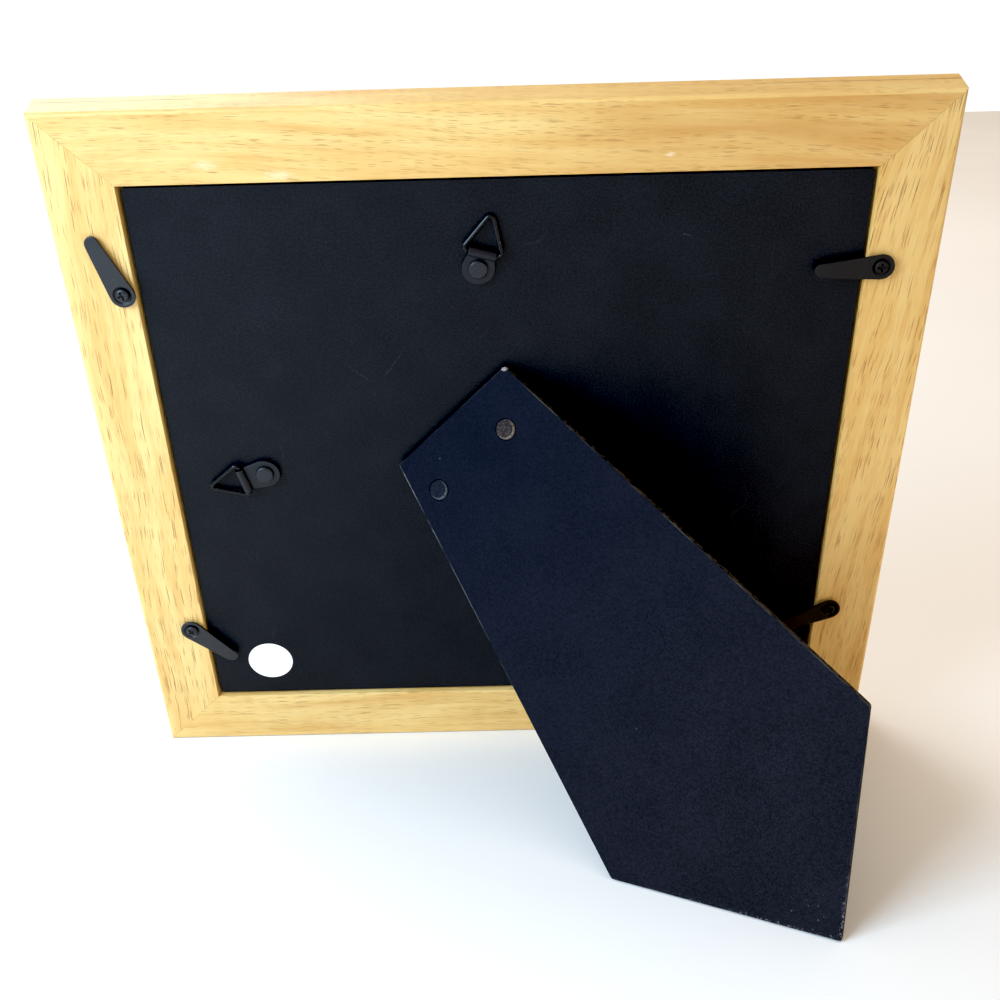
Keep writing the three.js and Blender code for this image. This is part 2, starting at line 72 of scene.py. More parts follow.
slots = {part["node"]: part["material_slot"] for part in frame["record"]["subparts"]}
railSides = ("top", "bottom", "left", "right")
mm = 0.001
flush = 0.1  # points this near the back of the rails lie on it
facing = 0.5  # a face looks a certain way when this much of its normal does
print("frame loaded:", len(nodes), "nodes")


# Places: a matrix takes a piece's own millimetres into the world
def placeOf(across, up, out, origin):
    turn = Matrix((across, up, out)).transposed().to_4x4()
    return Matrix.Translation(origin) @ turn @ Matrix.Diagonal((mm, mm, mm, 1))


def middleOf(name):
    low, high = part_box(name)
    return (low + high) / 2


def pointsOf(*names):
    return [point.co for name in names for point in nodes[name].data.vertices]


def halfway(direction):
    reach = [point.dot(direction) for point in railPoints]
    return direction * ((min(reach) + max(reach)) / 2)


def reachOf(points, direction):  # lowest and highest, in millimetres from the middle of the back
    reach = [(point - backCentre).dot(direction) / mm for point in points]
    return min(reach), max(reach)


outOfBack = Vector(joints["button_top_left_turn"]["axis"]).normalized()
acrossBack = Vector((-1, 0, 0))  # to the right, seen from behind
upBack = outOfBack.cross(acrossBack)
railPoints = pointsOf(*(f"rail_{side}" for side in railSides))
backPlane = outOfBack * max(point.dot(outOfBack) for point in railPoints)
backRim = [point for point in railPoints if (point - backPlane).dot(outOfBack) > -flush * mm]
backCentre = halfway(acrossBack) + halfway(upBack) + backPlane
backPlace = placeOf(acrossBack, upBack, outOfBack, backCentre)

legAcross = Vector(joints["leg_swing"]["axis"]).normalized()
legFaces = [face for face in nodes["easel_leg"].data.polygons if face.normal.dot(outOfBack) > facing]
legOut = max(legFaces, key=lambda face: face.area).normal.normalized()
legDown = legAcross.cross(legOut)
legPlace = placeOf(legDown, legAcross, legOut, Vector(joints["leg_swing"]["pos_m"]))


# Shader maths: an expression on these values adds its Math nodes
class Val:
    def __init__(self, paint, socket):
        self.paint = paint
        self.socket = socket

    def math(self, operation, first, second=0.0):
        return self.paint.node("ShaderNodeMath", {"operation": operation}, {0: first, 1: second})

    def __add__(self, other):
        return self.math("ADD", self, other)

    def __radd__(self, other):
        return self.math("ADD", other, self)

    def __sub__(self, other):
        return self.math("SUBTRACT", self, other)

    def __rsub__(self, other):
        return self.math("SUBTRACT", other, self)

    def __mul__(self, other):
        return self.math("MULTIPLY", self, other)

    def __rmul__(self, other):
        return self.math("MULTIPLY", other, self)

    def __truediv__(self, other):
        return self.math("DIVIDE", self, other)

    def __rtruediv__(self, other):
        return self.math("DIVIDE", other, self)

    def __pow__(self, other):
        return self.math("POWER", self, other)

    def __rpow__(self, other):
        return self.math("POWER", other, self)

    def __abs__(self):
        return self.math("ABSOLUTE", self)

    def sine(self):
        return self.math("SINE", self)

    def most(self, other):
        return self.math("MAXIMUM", self, other)


class Paint:
    def __init__(self, owner, look):  # a new material or world, and its dictionary
        owner.use_nodes = True
        self.owner = owner
        self.look = look
        self.tree = owner.node_tree
        self.tree.nodes.clear()

    def node(self, kind, settings, sockets, output=0):
        made = self.tree.nodes.new(kind)
        for name, value in settings.items():
            setattr(made, name, value)
        for name, value in sockets.items():
            if isinstance(value, Val):
                self.tree.links.new(value.socket, made.inputs[name])
            else:
                made.inputs[name].default_value = value
        return Val(self, made.outputs[output]) if made.outputs else None

    def other(self, value, output):
        return Val(self, value.socket.node.outputs[output])

    def position(self):
        return self.node("ShaderNodeTexCoord", {}, {}, "Object")

    def local(self, matrix):  # the piece's own millimetres
        location, turn, scale = matrix.inverted().decompose()
        sockets = {"Vector": self.position(), "Location": location, "Scale": scale}
        sockets["Rotation"] = turn.to_euler()
        return self.node("ShaderNodeMapping", {"vector_type": "POINT"}, sockets)

    def parts(self, vector):
        first = self.node("ShaderNodeSeparateXYZ", {}, {0: vector})
        return first, self.other(first, 1), self.other(first, 2)

    def vector(self, x, y, z):
        return self.node("ShaderNodeCombineXYZ", {}, {0: x, 1: y, 2: z})

    def measure(self, operation, first, second):  # a number from two vectors
        return self.node("ShaderNodeVectorMath", {"operation": operation}, {0: first, 1: second}, 1)

    def noise(self, kind, vector):
        sockets = {"Vector": vector, "Scale": 1.0} | self.look["noise"][kind]
        return self.node("ShaderNodeTexNoise", {"noise_dimensions": "3D"}, sockets)

    def swing(self, noise, reach):  # to both sides of nought
        return (noise - 0.5) * reach

    def cells(self, vector, scale=1.0):
        return self.node("ShaderNodeTexVoronoi", {"feature": "F1"}, {"Vector": vector, "Scale": scale})

    def between(self, value, start, end):  # 0 at start, 1 at end, smooth on the way
        sockets = {0: value, 1: start, 2: end}
        return self.node("ShaderNodeMapRange", {"interpolation_type": "SMOOTHSTEP"}, sockets)

    def full(self, kind, value):  # the same, with start and end from the dictionary
        return self.between(value, *self.look["range"][kind])

    def length(self, x, y):
        return (x ** 2.0 + y ** 2.0) ** 0.5

    def mix(self, factor, first, second):
        return self.node("ShaderNodeMix", {"data_type": "RGBA"}, {0: factor, 6: first, 7: second}, 2)

    def redPart(self, colour):
        return self.node("ShaderNodeSeparateColor", {}, {0: colour})

    def bump(self, height, depth):  # depth in millimetres
        return self.node("ShaderNodeBump", {}, {"Strength": 1.0, "Distance": depth * mm, "Height": height})

    def principled(self, sockets):
        return self.node("ShaderNodeBsdfPrincipled", {}, sockets)

    def finish(self, shader, output="ShaderNodeOutputMaterial"):
        self.node(output, {}, {"Surface": shader})
        return self.owner


def newPaint(name, look):
    return Paint(bpy.data.materials.new(name), look)


def shade(code):  # a screen colour such as e2b566, made linear
    parts = [int(code[i:i + 2], 16) / 255 for i in (0, 2, 4)]
    linear = [part / 12.92 if part <= 0.04045 else ((part + 0.055) / 1.055) ** 2.4 for part in parts]
    return (*linear, 1.0)


# Pale hardwood under a clear satin lacquer: soft clouds, fine fibres and short open pores along the grain.
# In each dictionary, range says where an effect starts and where it is full, and amount how strong it is.
woodLook = {
    "pale": shade("dcbb76"),
    "middle": shade("d0a55c"),
    "deep": shade("b27b34"),
    "tan": shade("9c6829"),
    "pore": shade("774d1c"),
    # the next two colours are painted shade: the deeper front part of each rail, and the painted shadow line
    # between it and the back part
    "front": shade("cc9850"),
    "stepShadow": shade("7d5126"),
    "rub": shade("f4ecd8"),
    "stretch": {  # per millimetre along the grain, across it and in depth
        "slow": (0.009, 0.03, 0.03),
        "streak": (0.02, 0.3, 0.3),
        "fibre": (0.09, 2.6, 2.6),
        "blotch": (0.02, 0.08, 0.08),
        "strings": (0.012, 0.25, 0.25),
        "ragged": (0.4, 2.0, 2.0),
        "cloud": (0.012, 0.14, 0.14),
        "wander": (0.03, 0.2, 0.4),
    },
    "noise": {
        "slow": {"Detail": 1.5},
        "streak": {"Detail": 3.0},
        "fibre": {"Detail": 2.0},
        "blotch": {"Detail": 2.0},
        "strings": {"Detail": 1.0},
        "ragged": {"Detail": 1.0},
        "cloud": {"Detail": 3.0, "Distortion": 0.4},
        "wander": {"Detail": 3.0},
    },
    "range": {
        "tone": (0.1, 0.9),
        "streak": (0.3, 0.72),
        "blotch": (0.3, 0.7),
        "dark": (0.5, 0.72),
        "fibre": (0.52, 0.7),
        "strings": (0.36, 0.58),
        "dash": (0.46, 0.2),
        "cloud": (0.3, 0.72),
        "figure": (-10.0, 60.0),
        # the next four ranges place the painted shade on the front part and its painted shadow line
        "front": (0.4, -0.8),
        "stepShadow": (0.7, 0.1),
        "stepShadowEnds": (45.0, 115.0),
        "stepShadowGaps": (0.38, 0.56),
        "rub": (1.1, 0.1),
        "onBack": (-2.0, -0.5),
    },
    "amount": {
        "wave": 11.0,
        "rings": 0.2,
        "streak": 0.4,
        "blotch": 0.4,
        "darkStreak": 0.7,
        "darkFibre": 0.3,
        "dark": 0.18,
        "fibre": 0.14,
        "gather": 0.65,
        "ragged": 0.3,
        "cloud": 0.5,
        "figure": 0.85,
        # the next two amounts: less figure under the painted rim highlight, and the strength of that
        # highlight
        "figureOnRimHighlight": 0.45,
        "rimHighlight": 0.3,
        # the next three amounts: painted shade on the front part, and the wander and strength of its painted
        # shadow line
        "front": 0.25,
        "stepShadowWander": 2.4,
        "stepShadow": 0.7,
        "rubRagged": 2.0,
        "fibreRough": 0.16,
        "poreRough": 0.25,
        "fibreHeight": 0.15,
        "faintHeight": 0.4,
    },
    # width in millimetres of the painted highlight along the outer rim of the back
    "rimHighlightWidth": 0.4,
    # depth in millimetres of the painted shadow line, from the back
    "stepShadowDepth": 10.0,
    "poreDepth": 0.1,
    "roughness": 0.42,
    "coat": 0.1,
    "coatRoughness": 0.3,
}
railLook = {
    "top": {"outward": upBack, "shift": 370.0, "slant": 0.05, "heart": (96, -34), "bands": 9.0,
            "dash": 0.6, "faint": 0.58, "pores": 0.42, "figure": 0.8, "warm": 0.08},
    "bottom": {"outward": -upBack, "shift": 2130.0, "slant": -0.02, "heart": (190, -60), "bands": 10.0,
               "dash": 0.8, "faint": 0.65, "pores": 0.45, "figure": 0.0, "warm": 0.0},
    "left": {"outward": acrossBack, "shift": 4290.0, "slant": 0.1, "heart": (206, -95), "bands": 8.0,
             "dash": 1.0, "faint": 0.9, "pores": 0.8, "figure": 0.0, "warm": 0.24},
    "right": {"outward": -acrossBack, "shift": 6820.0, "slant": 0.03, "heart": (104, -80), "bands": 8.0,
              "dash": 1.0, "faint": 0.85, "pores": 0.75, "figure": 0.0, "warm": 0.0},
}
topRubs = [  # pale rubbed places on the back of the top rail
    {"along": -97.0, "out": 121.4, "width": 4.6, "height": 1.9, "strength": 0.22},
    {"along": -72.5, "out": 117.4, "width": 6.5, "height": 1.9, "strength": 0.22},
    {"along": 57.7, "out": 121.0, "width": 2.0, "height": 1.0, "strength": 0.32},
]
poreLook = {  # size of the cells, and from which value on a cell is chosen
    "faint": {"length": 9.0, "gap": 0.45, "seed": 0.0, "from": 0.1},
    "pores": {"length": 16.0, "gap": 0.55, "seed": 7.3, "from": 0.42},
}


def woodMaterial(side, look):
    paint = newPaint(f"wood_{side}", woodLook)
    amount = woodLook["amount"]
    outward = look["outward"]
    place = placeOf(outward.cross(outOfBack), outward, outOfBack, backCentre)
    along, out, depth = paint.parts(paint.local(place))
    start = along + look["shift"]

    def grainNoise(kind, across):
        alongBy, acrossBy, depthBy = woodLook["stretch"][kind]
        return paint.noise(kind, paint.vector(start * alongBy, across * acrossBy, depth * depthBy))

    rim = reachOf(backRim, outward)[1]
    rimHighlight = paint.between(out, rim - woodLook["rimHighlightWidth"], rim)  # painted highlight: the outer side of the rail and the last of its back are painted paler, where light from above catches them
    grain = out + along * look["slant"] + paint.swing(grainNoise("slow", out), amount["wave"])
    heartOut, heartDepth = look["heart"]
    fromHeart = paint.length(grain - heartOut, depth - heartDepth)
    rings = (fromHeart * (2 * math.pi / look["bands"])).sine() * 0.5 + 0.5  # from 0 to 1
    streak = grainNoise("streak", grain)
    fibre = grainNoise("fibre", grain)
    blotch = grainNoise("blotch", grain)
    ragged = grainNoise("ragged", grain)

    def dashes(kind):  # thin cells along the grain, some of them chosen
        pores = poreLook[kind]
        length, gap = pores["length"] * look["dash"], pores["gap"]
        cell = paint.cells(paint.vector(start / length + pores["seed"], grain / gap, depth / gap))
        chosen = paint.between(paint.redPart(paint.other(cell, "Color")), pores["from"], 1.0)
        return paint.full("dash", cell + paint.swing(ragged, amount["ragged"])) * chosen * look[kind]

    gathered = paint.full("strings", grainNoise("strings", grain)) * amount["gather"] + (1 - amount["gather"])
    faint = dashes("faint") * gathered
    pore = dashes("pores") * gathered
    tone = rings * amount["rings"] + paint.full("streak", streak) * amount["streak"]
    tone = tone + paint.full("blotch", blotch) * amount["blotch"]
    colour = paint.mix(paint.full("tone", tone), woodLook["pale"], woodLook["middle"])
    dark = paint.full("dark", streak * amount["darkStreak"] + fibre * amount["darkFibre"])
    colour = paint.mix(dark * amount["dark"] + look["warm"], colour, woodLook["deep"])
    colour = paint.mix(paint.full("fibre", fibre) * amount["fibre"], colour, woodLook["deep"])
    if look["figure"]:  # a browner heart, from the middle of the rail to its right end
        cloud = paint.full("cloud", grainNoise("cloud", grain)) * amount["cloud"] + (1 - amount["cloud"])
        figure = cloud * paint.full("figure", along) * look["figure"]
        strength = amount["figure"] - rimHighlight * amount["figureOnRimHighlight"]
        colour = paint.mix(figure * strength, colour, woodLook["deep"])
    colour = paint.mix(rimHighlight * amount["rimHighlight"], colour, woodLook["pale"])

    # Painted shade: the front part of each rail is painted a shade deeper, with a painted shadow line
    # between, as under a small step in its side; the line fades along the middle
    wander = grainNoise("wander", out)
    stepShadow = depth + woodLook["stepShadowDepth"] + paint.swing(wander, amount["stepShadowWander"])
    colour = paint.mix(paint.full("front", stepShadow) * amount["front"], colour, woodLook["front"])
    ends = paint.full("stepShadowEnds", abs(along)) * paint.full("stepShadowGaps", wander)
    colour = paint.mix(paint.full("stepShadow", abs(stepShadow)) * ends * amount["stepShadow"], colour, woodLook["stepShadow"])
    colour = paint.mix(faint, colour, woodLook["tan"])
    colour = paint.mix(pore, colour, woodLook["pore"])
    if side == "top":
        onBack = paint.full("onBack", depth)
        for rub in topRubs:
            away = paint.length((along - rub["along"]) / rub["width"], (out - rub["out"]) / rub["height"])
            rubbed = paint.full("rub", away + paint.swing(ragged, amount["rubRagged"]))
            colour = paint.mix(rubbed * onBack * rub["strength"], colour, woodLook["rub"])
    height = fibre * amount["fibreHeight"] - faint * amount["faintHeight"] - pore
    return paint.finish(paint.principled({
        "Base Color": colour,
        "Roughness": woodLook["roughness"] + fibre * amount["fibreRough"] + pore * amount["poreRough"],
        "Normal": paint.bump(height, woodLook["poreDepth"]),
        "Coat Weight": woodLook["coat"],
        "Coat Roughness": woodLook["coatRoughness"],
    }))


# Black paper on the backing board, with a few scuffs
boardLook = {
    "paper": shade("040508"),
    "worn": shade("15171d"),
    "scuff": shade("4a4c54"),
    "noise": {
        "mottle": {"Scale": 0.05, "Detail": 3.0},
        "tooth": {"Scale": 1.4, "Detail": 3.0, "Roughness": 0.6},
        "contour": {"Scale": 0.022, "Detail": 1.0, "Distortion": 0.8},
        "patch": {"Scale": 0.03, "Detail": 2.0},
    },
    "range": {
        "mottle": (0.3, 0.75),
        "tooth": (0.36, 0.64),
        "contour": (0.0035, 0.0),
        "patch": (0.5, 0.66),
        "speck": (0.05, 0.02),
        "scratch": (0.4, 0.1),
        "broken": (0.35, 0.6),
    },
    "amount": {"mottle": 0.25, "tooth": 0.75, "scuff": 0.08, "speck": 0.15, "toothRough": 0.2},
    "speckScale": 0.16,
    "scratchEnd": 2.0,
    "roughness": 0.45,
    "specular": 0.17,
    "toothDepth": 0.05,
}
boardScratches = [  # start and end, across and up, and how strong
    {"start": (-57.0, 45.3), "end": (-48.5, 38.4), "strength": 0.15},
    {"start": (-43.6, 39.9), "end": (-35.9, 50.0), "strength": 0.2},
    {"start": (62.8, 92.9), "end": (66.8, 91.7), "strength": 0.4},
]


def boardMaterial():
    paint = newPaint("board_paper", boardLook)
    amount = boardLook["amount"]
    here = paint.local(backPlace)
    across, up = paint.parts(here)[:2]
    mottle = paint.noise("mottle", here)
    tooth = paint.noise("tooth", here)
    contour = paint.noise("contour", here)
    patch = paint.noise("patch", here)
    scuff = paint.full("contour", abs(contour - 0.5)) * paint.full("patch", patch)
    speck = paint.full("speck", paint.cells(here, boardLook["speckScale"]))
    light = paint.full("mottle", mottle) * amount["mottle"] + paint.full("tooth", tooth) * amount["tooth"]
    colour = paint.mix(light, boardLook["paper"], boardLook["worn"])
    colour = paint.mix(scuff * amount["scuff"] + speck * amount["speck"], colour, boardLook["scuff"])
    broken = paint.full("broken", tooth)
    for scratch in boardScratches:
        run = Vector(scratch["end"]) - Vector(scratch["start"])
        half = run.length / 2
        run.normalize()
        x, y = across - scratch["start"][0], up - scratch["start"][1]
        line = paint.full("scratch", abs(x * run.y - y * run.x))
        fromMiddle = abs(x * run.x + y * run.y - half)
        line = line * paint.between(fromMiddle, half, half - boardLook["scratchEnd"])
        colour = paint.mix(line * broken * scratch["strength"], colour, boardLook["scuff"])
    return paint.finish(paint.principled({
        "Base Color": colour,
        "Roughness": boardLook["roughness"] + paint.swing(tooth, amount["toothRough"]),
        "Specular IOR Level": boardLook["specular"],
        "Normal": paint.bump(tooth, boardLook["toothDepth"]),
    }))


# Blue-black paper on the leg: worn along its edges, with bare board on its side walls
legLook = {
    "paper": shade("0c0d13"),
    "light": shade("181a25"),
    "footPaper": shade("121216"),
    "footLight": shade("25252c"),
    "worn": shade("7c7a77"),
    "olive": shade("5d5a4c"),
    "chip": shade("7f7872"),
    "core": shade("4e483e"),
    "wallPaper": shade("15151b"),
    "noise": {
        "mottle": {"Scale": 0.04, "Detail": 3.0},
        "tooth": {"Scale": 1.5, "Detail": 3.0, "Roughness": 0.65},
        "rub": {"Scale": 0.1, "Detail": 3.0},
        "ragged": {"Scale": 0.6, "Detail": 2.0},
        "grit": {"Scale": 1.3, "Detail": 2.0},
    },
    "range": {
        "mottle": (0.3, 0.7),
        "tooth": (0.28, 0.72),
        "towardFoot": (-20.0, 200.0),
        "rub": (0.4, 0.62),
        "besideHinge": (120.0, 0.0),
        "edge": (0.5, 0.16),
        "grit": (0.56, 0.64),
        "knock": (1.5, 0.3),
        "onTable": (90.0, 6.0),
        "offTable": (30.0, 6.0),
        "wall": (0.06, 0.015),
        "bare": (0.4, 0.62),
        "speck": (0.022, 0.01),
        "tipSpeck": (0.15, 0.07),
        "tip": (26.0, 2.0),
        "chip": (1.6, 1.2),
    },
    "amount": {
        "mottle": 0.15,
        "tooth": 0.7,
        "leastLight": 0.075,
        "edgeRagged": 0.4,
        "knockRagged": 2.0,
        "knock": 0.8,
        "speck": 0.5,
        "tipSpeck": 0.45,
        "chipRagged": 2.6,
        "toothRough": 0.2,
        "wornRough": 0.15,
        "chipHeight": 2.0,
    },
    "walls": 5,
    "uprightWithin": 0.05,
    "speckScale": 0.07,
    "tipSpeckScale": 0.42,
    "roughness": 0.72,
    "specular": 0.05,
    "toothDepth": 0.05,
}
legWear = {  # by the side of the leg, seen from behind: how worn, and in which colour
    "left": {"wear": 0.8, "colour": legLook["worn"], "bare": 0.2},
    "right": {"wear": 0.45, "colour": legLook["olive"], "bare": 0.65},
    "top": {"wear": 0.1, "colour": legLook["worn"], "bare": 0.2},
    "foot": {"wear": 0.25, "colour": legLook["worn"], "bare": 0.4},
}


def legWalls():  # normals and distances of the leg's straight side walls, largest first
    walls = {}
    for face in nodes["easel_leg"].data.polygons:
        key = tuple(round(part, 2) for part in face.normal)
        upright = abs(face.normal.dot(legOut)) < legLook["uprightWithin"]
        if upright and (key not in walls or face.area > walls[key].area):
            walls[key] = face
    largest = sorted(walls.values(), key=lambda face: -face.area)[:legLook["walls"]]
    return [(face.normal.copy(), face.center.dot(face.normal)) for face in largest]


def legSide(normal):
    down = normal.dot(legDown)
    if abs(down) > facing:
        return "foot" if down > 0 else "top"
    return "right" if normal.dot(legAcross) > 0 else "left"


def legMaterial():
    paint = newPaint("leg_paper", legLook)
    amount = legLook["amount"]
    here = paint.local(legPlace)
    down = paint.parts(here)[0]
    spot = paint.position()
    points = pointsOf("easel_leg")
    topCorner = max(points, key=lambda point: point.dot(legAcross - legDown + legOut))
    tip = max(points, key=lambda point: point.dot(legDown + legOut))
    fromTip = paint.measure("DISTANCE", spot, tip) / mm
    mottle = paint.noise("mottle", here)
    tooth = paint.noise("tooth", here)
    rub = paint.full("rub", paint.noise("rub", here))
    ragged = paint.noise("ragged", here)
    grit = paint.full("grit", paint.noise("grit", here))
    bare = paint.full("bare", ragged)
    light = paint.full("mottle", mottle) * amount["mottle"] + paint.full("tooth", tooth) * amount["tooth"]
    light = light + amount["leastLight"]
    colour = paint.mix(light, legLook["paper"], legLook["light"])
    # the paper is lighter and greyer towards the foot
    towardFoot = paint.mix(light, legLook["footPaper"], legLook["footLight"])
    colour = paint.mix(paint.full("towardFoot", down), colour, towardFoot)
    worn = 0.0
    for normal, reach in legWalls():
        side = legSide(normal)
        look = legWear[side]
        edge = (reach - paint.measure("DOT_PRODUCT", spot, normal)) / mm
        rubbed = rub * look["wear"]
        if side == "left":  # most worn beside the hinge
            rubbed = rubbed * paint.full("besideHinge", down)
        line = paint.full("edge", edge + paint.swing(ragged, amount["edgeRagged"])) * rubbed
        if side == "foot":  # knocked where it meets the table, most of all at the point
            knocks = grit * paint.full("knock", edge + paint.swing(ragged, amount["knockRagged"]))
            nearPoint = paint.full("onTable" if normal.z < -facing else "offTable", fromTip)
            line = line.most(knocks * nearPoint * amount["knock"])
        wall = paint.full("wall", edge)
        colour = paint.mix(line, colour, look["colour"])
        colour = paint.mix(wall, colour, legLook["wallPaper"])
        colour = paint.mix(wall * bare * look["bare"], colour, legLook["core"])
        worn = line + worn
    speck = paint.full("speck", paint.cells(here, legLook["speckScale"]))
    tipSpeck = paint.full("tipSpeck", paint.cells(here, legLook["tipSpeckScale"]))
    tipSpeck = tipSpeck * paint.full("tip", fromTip)
    colour = paint.mix(speck * amount["speck"] + tipSpeck * amount["tipSpeck"], colour, legLook["worn"])
    fromCorner = paint.measure("DISTANCE", spot, topCorner) / mm
    chip = paint.full("chip", fromCorner + paint.swing(ragged, amount["chipRagged"]))
    colour = paint.mix(chip, colour, legLook["chip"])
    roughness = legLook["roughness"] + paint.swing(tooth, amount["toothRough"]) + worn * amount["wornRough"]
    return paint.finish(paint.principled({
        "Base Color": colour,
        "Roughness": roughness,
        "Specular IOR Level": legLook["specular"],
        "Normal": paint.bump(tooth - chip * amount["chipHeight"], legLook["toothDepth"]),
    }))


# Heads of the leg's rivets: painted with the leg, worn bare round the rim, where the paler rim is also a
# painted highlight
rivetLook = {
    "leg_rivet_1": {"paint": shade("14161e"), "worn": shade("4a4c50"), "middle": 0.15},
    "leg_rivet_2": {"paint": shade("231e1f"), "worn": shade("6a5f55"), "middle": 0.35},
}
rivetFinish = {
    "noise": {"grit": {"Scale": 1.6, "Detail": 3.0, "Roughness": 0.7}},
    "range": {"rim": (3.15, 3.65), "broken": (0.35, 0.6), "rubbed": (0.46, 0.66)},
    "amount": {"broken": 0.7, "wornMetal": 0.2, "wornSmooth": 0.2},
    "roughness": 0.65,
    "specular": 0.05,
    "gritDepth": 0.06,
}


def rivetMaterial(name, look):
    paint = newPaint(name, rivetFinish)
    amount = rivetFinish["amount"]
    here = paint.local(placeOf(legDown, legAcross, legOut, middleOf(name)))
    down, across = paint.parts(here)[:2]
    grit = paint.noise("grit", here)
    broken = paint.full("broken", grit) * amount["broken"] + (1 - amount["broken"])
    # paler rim: bare metal where worn, and a painted highlight where the rim catches the light
    rim = paint.full("rim", paint.length(down, across)) * broken
    worn = rim.most(paint.full("rubbed", grit) * look["middle"])
    return paint.finish(paint.principled({
        "Base Color": paint.mix(worn, look["paint"], look["worn"]),
        "Metallic": worn * amount["wornMetal"],
        "Roughness": rivetFinish["roughness"] - worn * amount["wornSmooth"],
        "Specular IOR Level": rivetFinish["specular"],
        "Normal": paint.bump(grit, rivetFinish["gritDepth"]),
    }))


# Metals
metalLook = {
    "black_metal": {"colour": shade("141519"), "worn": shade("45454a"), "rust": shade("4a3020"),
                    "metallic": 0.0, "roughness": 0.36, "gloss": 0.42},
    # painted fill light: a duller copy of the black metal, painted lighter, for the buttons and screws on the
    # shaded side
    "matt_black": {"colour": shade("242120"), "worn": shade("3d3a39"), "rust": shade("3a2c22"),
                   "metallic": 0.0, "roughness": 0.42, "gloss": 0.06},
    "strap_black": {"colour": shade("101116"), "worn": shade("3e3f46"), "rust": shade("33261e"),
                    "metallic": 0.0, "roughness": 0.38, "gloss": 0.3},
    "gunmetal": {"colour": shade("17181d"), "worn": shade("5c5d65"), "rust": shade("463629"),
                 "metallic": 0.0, "roughness": 0.38, "gloss": 0.33},
    "dark_wire": {"colour": shade("0b0b0d"), "worn": shade("5c5d63"), "rust": shade("2e231b"),
                  "metallic": 0.0, "roughness": 0.24, "gloss": 0.22},
    "zinc_steel": {"colour": shade("a8aaac"), "worn": shade("c9cbcc"), "rust": shade("7d746a"),
                   "metallic": 0.95, "roughness": 0.34, "gloss": 0.5},
}
metalFinish = {
    "noise": {
        "cloud": {"Scale": 0.25, "Detail": 3.0},
        "grit": {"Scale": 2.5, "Detail": 2.0},
        "fine": {"Scale": 6.0, "Detail": 2.0},
    },
    "range": {"worn": (0.6, 0.75), "rust": (0.6, 0.72)},
    "amount": {"rustCloud": 0.6, "rustGrit": 0.4, "worn": 0.5, "rust": 0.6, "rustDull": 0.3,
               "cloudRough": 0.25, "rustRough": 0.3},
    "fineDepth": 0.02,
}
ownMetal = {  # pieces whose metal isn't that of their slot. The first group sit on the shaded side and get a duller, lighter copy of the black metal: painted fill light
    "matt_black": ("turn_button_top_left", "turn_button_bottom_left", "button_screw_top_left",
                   "button_screw_bottom_left"),
    "strap_black": ("hanger_strap_top", "hanger_strap_side"),
    "dark_wire": ("hanger_ring_top", "hanger_ring_side"),
}


def metalMaterial(kind, look):
    paint = newPaint(kind, metalFinish)
    amount = metalFinish["amount"]
    here = paint.local(backPlace)
    cloud = paint.noise("cloud", here)
    grit = paint.noise("grit", here)
    rust = paint.full("rust", cloud * amount["rustCloud"] + grit * amount["rustGrit"])
    colour = paint.mix(paint.full("worn", grit) * amount["worn"], look["colour"], look["worn"])
    colour = paint.mix(rust * amount["rust"], colour, look["rust"])
    roughness = look["roughness"] + paint.swing(cloud, amount["cloudRough"]) + rust * amount["rustRough"]
    return paint.finish(paint.principled({
        "Base Color": colour,
        "Metallic": look["metallic"] - rust * amount["rustDull"],
        "Roughness": roughness,
        "Specular IOR Level": look["gloss"],
        "Normal": paint.bump(paint.noise("fine", here), metalFinish["fineDepth"]),
    }))


# Card, prints and glass behind the sight edge
matLook = {
    "face": shade("efe6d2"),
    "shadow": shade("e6dcc5"),
    "core": shade("fdfcf8"),
    "noise": {"fibre": {"Scale": 1.6, "Detail": 3.0}, "cloud": {"Scale": 0.03, "Detail": 2.0}},
    "range": {"cloud": (0.3, 0.7), "bevel": (0.06, 0.16)},
    "amount": {"cloud": 0.3, "fibre": 0.2, "fibreRough": 0.2},
    "roughness": 0.85,
    "fibreDepth": 0.04,
}


def matMaterial():
    paint = newPaint("mat_card", matLook)
    amount = matLook["amount"]
    here = paint.local(backPlace)
    depth = paint.parts(here)[2]
    front = reachOf(pointsOf("window_mat"), outOfBack)[0]
    fibre = paint.noise("fibre", here)
    cloud = paint.full("cloud", paint.noise("cloud", here))
    colour = paint.mix(cloud * amount["cloud"], matLook["face"], matLook["shadow"])
    colour = paint.mix(fibre * amount["fibre"], colour, matLook["core"])
    return paint.finish(paint.principled({
        "Base Color": paint.mix(paint.full("bevel", depth - front), colour, matLook["core"]),
        "Roughness": matLook["roughness"] + paint.swing(fibre, amount["fibreRough"]),
        "Normal": paint.bump(fibre, matLook["fibreDepth"]),
    }))


